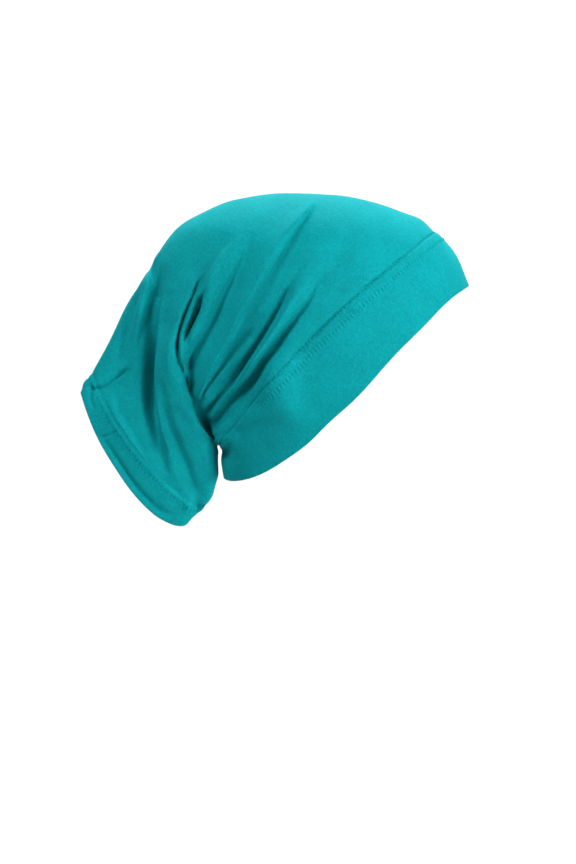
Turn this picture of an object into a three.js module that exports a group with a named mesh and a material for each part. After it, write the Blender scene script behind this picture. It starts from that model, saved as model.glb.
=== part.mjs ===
// A stretch-jersey underscarf cap, in the form it has on a head: a tube with a wide doubled band round
// the face and nape, gathered at the nape, and a flattened tail that hangs open behind.
// Millimetres, +X towards the face, +Y towards the wearer's left, +Z up. The origin is the point inside
// the crown where the top of the head touches the cloth.
import * as THREE from "three";

// Overall sizes of the worn cap
const CAP_LENGTH = 270.5; // X, from the forehead edge to the tail's upper corner
const CAP_HEIGHT = 232.5; // Z, from the crown to the tail's lowest corner
const CAP_BREADTH = 148; // Y, over the sides of the head

// Sizes that are set by themselves
const BAND_WIDTH = 46; // the doubled band, along the forehead
const HEM_WIDTH = 16.5; // the doubled hem round the tail's open end, along its upper edge
const CLOTH = 1.1; // one layer of jersey with its loft
const BAND_WALL = 2; // the band's two layers
const HEM_WALL = 1.8; // the hem's two layers
const SEAM_GAP = 0.3; // clearance where two pieces meet edge to edge

// Mesh fineness
const AROUND_SIDE = 28; // steps down one side of a loop
const CROWN_LOOPS = 35;
const BAND_LOOPS = 4;
const HEM_LOOPS = 2;

// The loops of cloth, from the face edge to the tail's open end. Every loop starts on the upper outline
// (top), runs down the side and ends on the lower outline (low). x and bows are shares of CAP_LENGTH,
// z of CAP_HEIGHT, width of CAP_BREADTH. bowTop and bowLow push the loop forwards of its straight chord
// at one third and two thirds of the way, pull draws it towards the pinch at the nape, and sharpTop and
// sharpLow say how pointed the loop is at its two ends (0.5 is round).
const LOOPS = [
  { top: [0.473, -0.281], low: [-0.156, -0.857], bowTop: -0.016, bowLow: 0.059, pull: 0.022, width: 0.93, sharpTop: 0.42, sharpLow: 0.46 },
  { top: [0.436, -0.182], low: [-0.162, -0.808], bowTop: -0.014, bowLow: 0.014, pull: 0.011, width: 0.965, sharpTop: 0.44, sharpLow: 0.48 },
  { top: [0.377, -0.113], low: [-0.166, -0.757], bowTop: -0.013, bowLow: -0.02, pull: 0, width: 0.985, sharpTop: 0.45, sharpLow: 0.52 },
  { top: [0.258, -0.038], low: [-0.17, -0.745], bowTop: 0, bowLow: 0, pull: -0.052, width: 0.99, sharpTop: 0.47, sharpLow: 0.66 },
  { top: [0.129, -0.006], low: [-0.172, -0.742], bowTop: 0, bowLow: 0, pull: -0.078, width: 0.95, sharpTop: 0.48, sharpLow: 0.8 },
  { top: [0, 0], low: [-0.1735, -0.741], bowTop: 0, bowLow: 0, pull: -0.096, width: 0.86, sharpTop: 0.5, sharpLow: 0.88 },
  { top: [-0.129, -0.02], low: [-0.1755, -0.743], bowTop: 0, bowLow: -0.01, pull: -0.09, width: 0.73, sharpTop: 0.5, sharpLow: 0.88 },
  { top: [-0.227, -0.071], low: [-0.1775, -0.749], bowTop: -0.005, bowLow: -0.062, pull: -0.01, width: 0.6, sharpTop: 0.52, sharpLow: 0.75 },
  { top: [-0.31, -0.155], low: [-0.1785, -0.762], bowTop: -0.022, bowLow: -0.045, pull: 0, width: 0.49, sharpTop: 0.56, sharpLow: 0.52 },
  { top: [-0.367, -0.26], low: [-0.176, -0.79], bowTop: -0.015, bowLow: -0.02, pull: 0, width: 0.4, sharpTop: 0.62, sharpLow: 0.44 },
  { top: [-0.416, -0.359], low: [-0.176, -0.835], bowTop: -0.006, bowLow: -0.01, pull: 0, width: 0.32, sharpTop: 0.66, sharpLow: 0.42 },
  { top: [-0.457, -0.452], low: [-0.189, -0.888], bowTop: -0.01, bowLow: -0.013, pull: -0.008, width: 0.25, sharpTop: 0.66, sharpLow: 0.42 },
  { top: [-0.499, -0.54], low: [-0.212, -0.936], bowTop: -0.018, bowLow: -0.018, pull: -0.015, width: 0.18, sharpTop: 0.6, sharpLow: 0.42 },
  { top: [-0.528, -0.603], low: [-0.262, -0.996], bowTop: -0.021, bowLow: -0.026, pull: -0.026, width: 0.13, sharpTop: 0.5, sharpLow: 0.42 },
];

// The main folds, as curves through three points of the side view. x is a share of CAP_LENGTH and z of
// CAP_HEIGHT; rise, out of the cloth or (negative) into it, is a share of CAP_BREADTH; fore and aft, the
// fold's half widths on its two sides, are shares of CAP_LENGTH.
const FOLDS = [
  { name: "crown ridge", from: [0.06, -0.07], via: [-0.09, -0.345], to: [-0.215, -0.605], rise: 0.018, fore: 0.024, aft: 0.05 },
  { name: "crown crease", from: [0.09, -0.09], via: [-0.055, -0.345], to: [-0.185, -0.6], rise: -0.022, fore: 0.05, aft: 0.024 },
  { name: "back ridge", from: [-0.09, -0.11], via: [-0.175, -0.31], to: [-0.24, -0.48], rise: 0.03, fore: 0.024, aft: 0.03 },
  { name: "back crease", from: [-0.115, -0.21], via: [-0.19, -0.4], to: [-0.235, -0.56], rise: -0.02, fore: 0.026, aft: 0.022 },
  { name: "ear crease, upper", from: [0.01, -0.28], via: [-0.07, -0.455], to: [-0.18, -0.63], rise: -0.024, fore: 0.022, aft: 0.026 },
  { name: "ear ridge", from: [0.08, -0.26], via: [-0.055, -0.47], to: [-0.175, -0.655], rise: 0.016, fore: 0.022, aft: 0.022 },
  { name: "ear crease, lower", from: [0.09, -0.3], via: [-0.04, -0.5], to: [-0.165, -0.645], rise: -0.03, fore: 0.026, aft: 0.024 },
  { name: "nape crease", from: [-0.215, -0.22], via: [-0.275, -0.46], to: [-0.215, -0.66], rise: -0.036, fore: 0.026, aft: 0.024 },
  { name: "tail roll", from: [-0.27, -0.22], via: [-0.31, -0.5], to: [-0.22, -0.75], rise: 0.028, fore: 0.032, aft: 0.04 },
  { name: "tail crease, long", from: [-0.32, -0.2], via: [-0.35, -0.5], to: [-0.29, -0.83], rise: -0.04, fore: 0.028, aft: 0.034 },
  { name: "tail crease, rear", from: [-0.36, -0.25], via: [-0.395, -0.38], to: [-0.415, -0.48], rise: -0.014, fore: 0.026, aft: 0.024 },
];
const FOLD_STEPS = 24; // straight steps that stand for one fold's curve
const FOLD_FADE = 0.3; // share of a fold's length over which each end runs out

// Curve tools

// Slopes for a smooth curve through values at places that never overshoots between two of them.
function slopesOf(places, values) {
  const last = values.length - 1;
  const steps = [];
  for (let i = 0; i < last; i++) steps.push((values[i + 1] - values[i]) / (places[i + 1] - places[i]));
  const slopes = [steps[0]];
  for (let i = 1; i < last; i++) {
    const before = steps[i - 1];
    const after = steps[i];
    slopes.push(before * after <= 0 ? 0 : (2 * before * after) / (before + after));
  }
  slopes.push(steps[last - 1]);
  return slopes;
}

function smoothCurve(places, values) {
  const slopes = slopesOf(places, values);
  return (at) => {
    let i = 0;
    while (i < places.length - 2 && at > places[i + 1]) i++;
    const span = places[i + 1] - places[i];
    const t = (at - places[i]) / span;
    const a = 1 + 2 * t;
    const b = (1 - t) * (1 - t);
    const c = t * t * (3 - 2 * t);
    return a * b * values[i] + t * b * span * slopes[i] + c * values[i + 1] + t * t * (t - 1) * span * slopes[i + 1];
  };
}

function smoothStep(share) {
  const t = Math.min(1, Math.max(0, share));
  return t * t * (3 - 2 * t);
}

// The tube's form without folds

const tops = LOOPS.map((loop) => new THREE.Vector2(loop.top[0] * CAP_LENGTH, loop.top[1] * CAP_HEIGHT));
const places = [0];
for (let i = 1; i < tops.length; i++) places.push(places[i - 1] + tops[i].distanceTo(tops[i - 1]));
const TUBE_LENGTH = places[places.length - 1]; // along the upper outline
const column = (pick) => smoothCurve(places, LOOPS.map(pick));
const topX = column((loop) => loop.top[0] * CAP_LENGTH);
const topZ = column((loop) => loop.top[1] * CAP_HEIGHT);
const lowX = column((loop) => loop.low[0] * CAP_LENGTH);
const lowZ = column((loop) => loop.low[1] * CAP_HEIGHT);
const bowTop = column((loop) => loop.bowTop * CAP_LENGTH);
const bowLow = column((loop) => loop.bowLow * CAP_LENGTH);
const pull = column((loop) => loop.pull * CAP_LENGTH);
const halfWidth = column((loop) => (loop.width * CAP_BREADTH) / 2);
const sharpTop = column((loop) => loop.sharpTop);
const sharpLow = column((loop) => loop.sharpLow);

const THIRD_PEAK = 27 / 4; // makes u (1 - u)^2 reach 1 at one third
const LAYERS_APART = 1.5; // a fold never brings a side closer to the middle plane than this
const PINCH_POWER = 24; // how late the pinch lets go of the loop

// A point of the loop at a length along the upper outline; down runs from 0 on the upper outline to 1 on
// the lower one, on the wearer's right side.
function formPoint(along, down) {
  const u = (1 - Math.cos(Math.PI * down)) / 2;
  const chord = new THREE.Vector2(lowX(along) - topX(along), lowZ(along) - topZ(along));
  const forwards = new THREE.Vector2(-chord.y, chord.x).normalize();
  const bow =
    THIRD_PEAK * u * (1 - u) * (bowTop(along) * (1 - u) + bowLow(along) * u) +
    pull(along) * u * Math.sqrt(1 - u ** PINCH_POWER);
  const a = sharpTop(along);
  const b = sharpLow(along);
  const widest = a / (a + b);
  const fullness = (u / widest) ** a * ((1 - u) / (1 - widest)) ** b;
  return new THREE.Vector3(
    topX(along) + chord.x * u + forwards.x * bow,
    -halfWidth(along) * fullness,
    topZ(along) + chord.y * u + forwards.y * bow,
  );
}

// The folds

function foldLine(fold) {
  const scaled = (p) => new THREE.Vector2(p[0] * CAP_LENGTH, p[1] * CAP_HEIGHT);
  const from = scaled(fold.from);
  const to = scaled(fold.to);
  const control = scaled(fold.via).multiplyScalar(2).sub(from.clone().add(to).multiplyScalar(0.5));
  return new THREE.QuadraticBezierCurve(from, control, to).getPoints(FOLD_STEPS);
}
const folds = FOLDS.map((fold) => ({
  line: foldLine(fold),
  rise: fold.rise * CAP_BREADTH,
  fore: fold.fore * CAP_LENGTH,
  aft: fold.aft * CAP_LENGTH,
}));

// How far all folds together lift the cloth at a point of the side view.
function foldRise(x, z) {
  let sum = 0;
  for (const fold of folds) {
    let nearest = Infinity;
    let side = 0;
    let share = 0;
    for (let i = 0; i < FOLD_STEPS; i++) {
      const start = fold.line[i];
      const stepX = fold.line[i + 1].x - start.x;
      const stepZ = fold.line[i + 1].y - start.y;
      const reachX = x - start.x;
      const reachZ = z - start.y;
      const t = Math.min(1, Math.max(0, (reachX * stepX + reachZ * stepZ) / (stepX ** 2 + stepZ ** 2)));
      const away = Math.hypot(reachX - stepX * t, reachZ - stepZ * t);
      if (away < nearest) {
        nearest = away;
        side = stepX * reachZ - stepZ * reachX;
        share = (i + t) / FOLD_STEPS;
      }
    }
    const width = side > 0 ? fold.fore : fold.aft;
    const ends = smoothStep(share / FOLD_FADE) * smoothStep((1 - share) / FOLD_FADE);
    sum += fold.rise * ends * Math.exp(-((nearest / width) ** 2));
  }
  return sum;
}

const EDGE_CALM = 0.16; // share of a side over which folds fade out towards the outlines
const PINCH = new THREE.Vector2(-0.18 * CAP_LENGTH, -0.735 * CAP_HEIGHT); // where the nape is gathered
const PINCH_CALM = 0.14 * CAP_LENGTH; // distance from there at which folds have their full rise

// A point of the folded cloth on the wearer's right. Folds rise straight out to the side.
function clothPoint(along, down) {
  const p = formPoint(along, down);
  const edges = smoothStep(down / EDGE_CALM) * smoothStep((1 - down) / EDGE_CALM);
  const pinch = smoothStep(Math.hypot(p.x - PINCH.x, p.z - PINCH.y) / PINCH_CALM);
  p.y = Math.min(-LAYERS_APART, p.y - foldRise(p.x, p.z) * edges * pinch) * (down > 0 && down < 1);
  return p;
}

// The directions across the loop and out of the cloth at the same place.
const ALONG_STEP = 1;
const DOWN_STEP = 0.008;
function clothDirections(along, down) {
  const at = Math.min(TUBE_LENGTH - ALONG_STEP, Math.max(ALONG_STEP, along));
  const alongTube = clothPoint(at + ALONG_STEP, down).sub(clothPoint(at - ALONG_STEP, down)).normalize();
  let roundLoop = new THREE.Vector3(0, down - 0.5, 0);
  if (down > 0 && down < 1) roundLoop = clothPoint(at, down + DOWN_STEP).sub(clothPoint(at, down - DOWN_STEP));
  const outwards = alongTube.cross(roundLoop).normalize();
  return { acrossLoop: roundLoop.cross(outwards).normalize(), outwards };
}

// A piece of the tube

// The shares of a side at which one loop's points lie, evenly spaced along the cloth.
function evenDowns(along) {
  const fine = 200;
  const run = [0];
  let last = formPoint(along, 0);
  for (let i = 1; i <= fine; i++) {
    const next = formPoint(along, i / fine);
    run.push(run[i - 1] + next.distanceTo(last));
    last = next;
  }
  const downs = [0];
  let i = 0;
  for (let step = 1; step < AROUND_SIDE; step++) {
    const target = (run[fine] * step) / AROUND_SIDE;
    while (run[i + 1] < target) i++;
    downs.push((i + (target - run[i]) / (run[i + 1] - run[i])) / fine);
  }
  return [...downs, 1];
}

// One loop of the wall's outer and inner face, moved along the cloth by a shift: down the right side and
// back up the left one.
function wallLoop(along, outer, inner, shift) {
  const faces = [[], []];
  for (const down of evenDowns(along)) {
    const { acrossLoop, outwards } = clothDirections(along, down);
    const onCloth = clothPoint(along, down).addScaledVector(acrossLoop, shift);
    [outer, inner].forEach((lift, face) => faces[face].push(onCloth.clone().addScaledVector(outwards, lift)));
  }
  return faces.map((side) => {
    const mirrored = side.slice(1, -1).map((p) => new THREE.Vector3(p.x, -p.y, p.z));
    return side.concat(mirrored.reverse());
  });
}

// A closed wall of cloth between two lengths along the tube. Its outer face is raised above the form, its
// inner face lies one layer below it, and startTrim and endTrim take a little off its two edges.
function clothWall(start, end, loops, outer, startTrim, endTrim) {
  const size = 2 * AROUND_SIDE;
  const positions = [[], []];
  for (let i = 0; i <= loops; i++) {
    const trim = i === 0 ? startTrim : i === loops ? -endTrim : 0;
    const loop = wallLoop(start + ((end - start) * i) / loops, outer, -CLOTH, trim);
    loop.forEach((points, face) => points.forEach((p) => positions[face].push(p.x, p.y, p.z)));
  }
  const index = [];
  const quad = (a, b, c, d) => index.push(a, d, c, a, c, b);
  const inner = (loops + 1) * size;
  for (let j = 0; j < size; j++) {
    const k = (j + 1) % size;
    for (let i = 0; i < loops; i++) {
      const here = i * size;
      const next = here + size;
      quad(here + j, here + k, next + k, next + j);
      quad(inner + here + j, inner + next + j, inner + next + k, inner + here + k);
    }
    const rim = loops * size;
    quad(j, inner + j, inner + k, k);
    quad(rim + j, rim + k, inner + rim + k, inner + rim + j);
  }
  const geometry = new THREE.BufferGeometry();
  geometry.setAttribute("position", new THREE.Float32BufferAttribute(positions.flat(), 3));
  geometry.setIndex(index);
  geometry.computeVertexNormals();
  return geometry;
}

// The pieces

const jersey = new THREE.MeshStandardMaterial({ color: 0x15a9ac, roughness: 0.75, metalness: 0 });
const doubled = new THREE.MeshStandardMaterial({ color: 0x17adb0, roughness: 0.72, metalness: 0 });

function piece(name, geometry, material) {
  const mesh = new THREE.Mesh(geometry, material);
  mesh.name = name;
  return mesh;
}

const cap = new THREE.Group();
const seam = BAND_WIDTH;
const hemStart = TUBE_LENGTH - HEM_WIDTH;
const half = SEAM_GAP / 2;
cap.add(piece("face_band", clothWall(0, seam, BAND_LOOPS, BAND_WALL - CLOTH, 0, half), doubled));
cap.add(piece("crown_tube", clothWall(seam, hemStart, CROWN_LOOPS, 0, half, half), jersey));
cap.add(piece("tail_hem", clothWall(hemStart, TUBE_LENGTH, HEM_LOOPS, HEM_WALL - CLOTH, half, 0), doubled));
cap.position.z = CLOTH; // the crown's inner face is at the origin's height

export default cap;
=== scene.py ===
# %% [markdown]
# # An underscarf cap in stretch jersey
# This lesson dresses the measured model of a tube cap: a wide doubled band round the face, a single
# layer of jersey drawn together at the nape, and a flattened tail that hangs open behind. The measured
# model gives every size and place. The cloth is then made again in Blender with its folds, its seams
# and its knit.

# %% Load the measured model
import math
import bpy
import numpy as np
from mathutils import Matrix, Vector


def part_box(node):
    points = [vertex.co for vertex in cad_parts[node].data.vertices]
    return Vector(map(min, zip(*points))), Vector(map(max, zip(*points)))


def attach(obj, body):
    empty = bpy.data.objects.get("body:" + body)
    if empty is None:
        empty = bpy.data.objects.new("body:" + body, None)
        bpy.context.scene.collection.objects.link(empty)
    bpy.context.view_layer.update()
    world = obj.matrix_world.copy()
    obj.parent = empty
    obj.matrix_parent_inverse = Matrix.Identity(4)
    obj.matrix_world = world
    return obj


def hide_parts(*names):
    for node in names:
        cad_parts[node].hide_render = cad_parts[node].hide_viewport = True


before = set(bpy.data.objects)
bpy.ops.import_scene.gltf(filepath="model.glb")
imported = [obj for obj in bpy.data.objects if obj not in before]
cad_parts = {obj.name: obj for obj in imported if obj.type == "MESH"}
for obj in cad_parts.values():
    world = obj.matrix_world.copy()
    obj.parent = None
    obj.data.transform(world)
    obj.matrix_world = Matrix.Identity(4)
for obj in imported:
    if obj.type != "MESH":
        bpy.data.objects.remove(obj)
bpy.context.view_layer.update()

for node in sorted(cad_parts):
    low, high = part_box(node)
    print(node, "from", [round(c, 3) for c in low], "to", [round(c, 3) for c in high])

# %% [markdown]
# ## The form of the cloth
# The cap is one tube. A point of it is named by two numbers: how far along the tube it lies, measured in
# millimetres on the upper outline from the face edge, and how far down the side, from 0 on the upper
# outline to 1 on the lower one. A short table of loops gives the outlines. The same table shapes the
# measured model, so the cloth lands where the model is. The cloth could be draped by simulation, but a
# stretched tube gathered at one point keeps the outline of the real one far better when it is drawn.

# %% Loops of the tube
CAP_LENGTH = 270.5
CAP_HEIGHT = 232.5
CAP_BREADTH = 148.0
BAND_WIDTH = 46.0
HEM_WIDTH = 16.5
CLOTH = 1.1
BAND_WALL = 2.0
HEM_WALL = 1.8

# top and low: x as a share of the length, z as a share of the height; bows and pull as shares of the
# length; width as a share of the breadth; the last two say how pointed the loop is at its ends.
LOOPS = [
    # top x, top z, low x, low z, bow top, bow low, pull, width, point top, point low
    (0.473, -0.281, -0.156, -0.857, -0.016, 0.059, 0.022, 0.93, 0.42, 0.46),
    (0.436, -0.182, -0.162, -0.808, -0.014, 0.014, 0.011, 0.965, 0.44, 0.48),
    (0.377, -0.113, -0.166, -0.757, -0.013, -0.02, 0, 0.985, 0.45, 0.52),
    (0.258, -0.038, -0.17, -0.745, 0, 0, -0.02, 0.99, 0.47, 0.66),
    (0.129, -0.006, -0.172, -0.742, 0, 0, -0.03, 0.95, 0.48, 0.78),
    (0, 0, -0.1735, -0.741, 0, 0, -0.038, 0.86, 0.5, 0.84),
    (-0.129, -0.02, -0.1755, -0.743, 0, -0.01, -0.03, 0.73, 0.5, 0.8),
    (-0.227, -0.071, -0.1775, -0.749, -0.005, -0.035, -0.01, 0.6, 0.52, 0.68),
    (-0.31, -0.155, -0.1785, -0.762, -0.022, -0.03, 0, 0.49, 0.56, 0.52),
    (-0.367, -0.26, -0.176, -0.79, -0.015, -0.02, 0, 0.4, 0.62, 0.44),
    (-0.416, -0.359, -0.176, -0.835, -0.006, -0.01, 0, 0.32, 0.66, 0.42),
    (-0.457, -0.452, -0.189, -0.888, -0.01, -0.013, -0.008, 0.25, 0.66, 0.42),
    (-0.499, -0.54, -0.212, -0.936, -0.018, -0.018, -0.015, 0.18, 0.6, 0.42),
    (-0.528, -0.603, -0.262, -0.996, -0.021, -0.026, -0.026, 0.13, 0.5, 0.42),
]
LOOP_UNITS = (
    CAP_LENGTH, CAP_HEIGHT, CAP_LENGTH, CAP_HEIGHT, CAP_LENGTH,
    CAP_LENGTH, CAP_LENGTH, CAP_BREADTH / 2, 1, 1,
)
loop_table = np.array(LOOPS) * LOOP_UNITS
top_spans = np.hypot(*np.diff(loop_table[:, :2], axis=0).T)
loop_places = np.concatenate([[0], np.cumsum(top_spans)])
TUBE_LENGTH = loop_places[-1]
print("tube of", round(TUBE_LENGTH), "mm along its upper outline")

# %% [markdown]
# ## Smooth curves between the loops
# Stretched cloth runs from loop to loop without a kink, so a curve goes through each column of the
# table. Any spline could do this. The one used here never swings past a loop's own value, which keeps
# the outlines where the table puts them.

# %% Curves
def cubic(t, span, value_a, value_b, slope_a, slope_b):
    """A curve from one value to another with the slopes given at both, for t from 0 to 1."""
    start = (1 + 2 * t) * (1 - t) ** 2 * value_a + t * (1 - t) ** 2 * span * slope_a
    return start + t * t * (3 - 2 * t) * value_b + t * t * (t - 1) * span * slope_b


def smooth_column(values):
    """A curve through one column of the table that never overshoots between two loops."""
    spans = np.diff(loop_places)
    steps = np.diff(values) / spans
    product = steps[:-1] * steps[1:]
    total = np.where(product > 0, steps[:-1] + steps[1:], 1)
    middle = np.where(product > 0, 2 * product / total, 0)
    slopes = np.concatenate([[steps[0]], middle, [steps[-1]]])

    def at(along):
        i = np.clip(np.searchsorted(loop_places, along, side="right") - 1, 0, len(spans) - 1)
        t = (along - loop_places[i]) / spans[i]
        return cubic(t, spans[i], values[i], values[i + 1], slopes[i], slopes[i + 1])

    return at


columns = [smooth_column(loop_table[:, k]) for k in range(loop_table.shape[1])]
print(len(columns), "curves through", len(LOOPS), "loops")

# %% [markdown]
# ## One side of the tube
# A loop of the tube runs from its top down the wearer's right side to its low point. Seen from the side
# it is a chord that bows a little, because the head pushes the cloth out and the gather pulls it in. Seen
# from the front it is full in the middle and pointed at both ends. The other side is its mirror.

# %% Form
BOW_SCALE = 6.75
PULL_POWER = 24


def form(along, down):
    """Places on the unfolded cloth of the wearer's right side, as an array of x, y and z."""
    values = [column(along) for column in columns]
    top_x, top_z, low_x, low_z, bow_top, bow_low, pull, width, point_top, point_low = values
    u = (1 - np.cos(np.pi * down)) / 2
    chord_x, chord_z = low_x - top_x, low_z - top_z
    length = np.hypot(chord_x, chord_z)
    bow = BOW_SCALE * u * (1 - u) * (bow_top * (1 - u) + bow_low * u)
    bow = bow + pull * u * np.sqrt(np.maximum(0, 1 - u**PULL_POWER))
    widest = point_top / (point_top + point_low)
    fullness = (u / widest) ** point_top * ((1 - u) / (1 - widest)) ** point_low
    x = top_x + chord_x * u - chord_z / length * bow
    z = top_z + chord_z * u + chord_x / length * bow
    return np.stack([x, -width * fullness, z], axis=-1)


crown_middle = form(np.array(BAND_WIDTH), np.array(0.5))
print("beside the ear the side lies at", np.round(crown_middle, 1), "mm")

# %% [markdown]
# ## The folds
# The cloth is gathered at the nape, so its folds fan out from there, over the back of the head and down
# the tail. Each fold is a short line through a few points of the side view. It lifts the cloth or sinks
# it, with a width of its own on its face side and on its tail side: a wide fold with one narrow side is
# cloth that rolls over its neighbour. A lean pushes the crest sideways, so that it hangs over the crease
# beside it. Lengths are in millimetres.

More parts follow.
